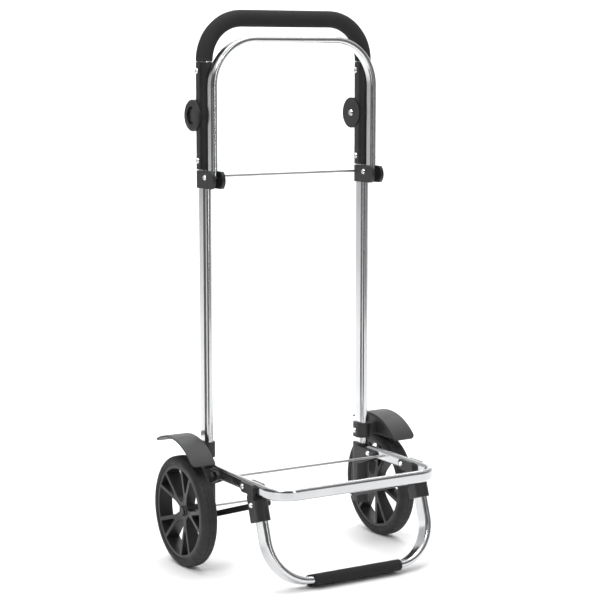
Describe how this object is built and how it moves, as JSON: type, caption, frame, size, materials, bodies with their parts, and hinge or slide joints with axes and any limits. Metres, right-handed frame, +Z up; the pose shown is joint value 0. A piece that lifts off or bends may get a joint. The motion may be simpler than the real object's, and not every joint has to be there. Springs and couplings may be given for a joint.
{
  "type": "hand truck",
  "caption": "Folding hand truck with tubular uprights, hinged foam-grip handle, folding hoop, drop-down platform with toe stand, and wheels under mudguards.",
  "frame": {"origin": "centre of the overall plan, on the floor the wheels and the toe grip stand on", "axes": "+Z up along the uprights, -Y towards the platform and toe stand, +X towards the right wheel"},
  "size_m": [0.47, 0.358, 0.989],
  "materials": {
    "silver_tube": "polished anodised tube",
    "inner_tube": "mill-finished tube",
    "bright_steel": "bright plated rivets and trim",
    "rod_steel": "drawn steel rod",
    "black_plastic": "fine-grained moulded nylon",
    "button_plastic": "smooth moulded button",
    "strut_steel": "black powder coat",
    "foam": "closed-cell foam sleeve",
    "tyre": "solid rubber tyre",
    "rim_plastic": "moulded wheel centre",
    "bush_plastic": "acetal bush"
  },
  "bodies": {
    "chassis": {"upright_left": "silver_tube", "upright_right": "silver_tube", "lower_hinge_left": "black_plastic", "lower_hinge_right": "black_plastic", "hub_bolt_left": "bright_steel", "hub_bolt_right": "bright_steel", "collar_left": "black_plastic", "collar_right": "black_plastic", "fender_left": "black_plastic", "fender_right": "black_plastic", "lower_bracket_left": "black_plastic", "lower_bracket_right": "black_plastic", "axle_left": "rod_steel", "axle_right": "rod_steel", "hoop_pins": "bright_steel", "upper_cross_rod": "rod_steel", "frame_rivets": "bright_steel", "arm_pins": "bright_steel", "strut_rear_pins": "bright_steel", "tie_rod": "rod_steel"},
    "handle": {"upper_hinge_left": "black_plastic", "upper_hinge_right": "black_plastic", "handle_tube": "inner_tube", "handle_grip": "foam", "handle_rings": "bright_steel", "handle_rivets": "bright_steel"},
    "button_left": {"release_button_left": "button_plastic"},
    "button_right": {"release_button_right": "button_plastic"},
    "hoop": {"bag_hoop": "silver_tube"},
    "platform": {"platform": "silver_tube", "lower_cross_rod": "rod_steel"},
    "toe_stand": {"toe_leg": "silver_tube", "toe_grip": "foam", "toe_pins": "bright_steel", "toe_bracket_left": "black_plastic", "toe_bracket_right": "black_plastic"},
    "strut_left": {"strut_left": "strut_steel", "strut_pin_left": "bright_steel"},
    "strut_right": {"strut_right": "strut_steel", "strut_pin_right": "bright_steel"},
    "wheel_left": {"tyre_left": "tyre", "rim_left": "rim_plastic", "wheel_bush_left": "bush_plastic"},
    "wheel_right": {"tyre_right": "tyre", "rim_right": "rim_plastic", "wheel_bush_right": "bush_plastic"}
  },
  "joints": [
    {"name": "handle_fold", "type": "hinge", "parent": "chassis", "child": "handle", "pos_m": [0, 0.097, 0.8045], "axis": [-1, 0, 0], "range_deg": [0, 180]},
    {"name": "hoop_fold", "type": "hinge", "parent": "chassis", "child": "hoop", "pos_m": [0, 0.0565, 0.6974], "axis": [1, 0, 0], "range_deg": [0, 100]},
    {"name": "platform_fold", "type": "hinge", "parent": "chassis", "child": "platform", "pos_m": [0, 0.036, 0.171], "axis": [-1, 0, 0], "range_deg": [0, 80]},
    {"name": "toe_fold", "type": "hinge", "parent": "platform", "child": "toe_stand", "pos_m": [0, -0.073, 0.173], "axis": [1, 0, 0], "range_deg": [0, 75]},
    {"name": "button_left_press", "type": "slide", "parent": "handle", "child": "button_left", "axis": [1, 0, 0], "range_m": [0, 0.003], "stiffness_N_per_m": 600, "springref_m": -0.001},
    {"name": "strut_left_swing", "type": "hinge", "parent": "chassis", "child": "strut_left", "pos_m": [-0.1457, 0.079, 0.086], "axis": [-1, 0, 0], "range_deg": [0, 43]},
    {"name": "wheel_left_spin", "type": "hinge", "parent": "chassis", "child": "wheel_left", "pos_m": [-0.2095, 0.079, 0.1], "axis": [1, 0, 0], "continuous": true},
    {"name": "button_right_press", "type": "slide", "parent": "handle", "child": "button_right", "axis": [-1, 0, 0], "range_m": [0, 0.003], "stiffness_N_per_m": 600, "springref_m": -0.001},
    {"name": "strut_right_swing", "type": "hinge", "parent": "chassis", "child": "strut_right", "pos_m": [0.1457, 0.079, 0.086], "axis": [-1, 0, 0], "range_deg": [0, 43]},
    {"name": "wheel_right_spin", "type": "hinge", "parent": "chassis", "child": "wheel_right", "pos_m": [0.2095, 0.079, 0.1], "axis": [1, 0, 0], "continuous": true}
  ],
  "couplings": [
    {"joint": "toe_fold", "follows": "platform_fold", "ratio": 0.937},
    {"joint": "strut_left_swing", "follows": "platform_fold", "ratio": 0.536},
    {"joint": "strut_right_swing", "follows": "platform_fold", "ratio": 0.536}
  ]
}
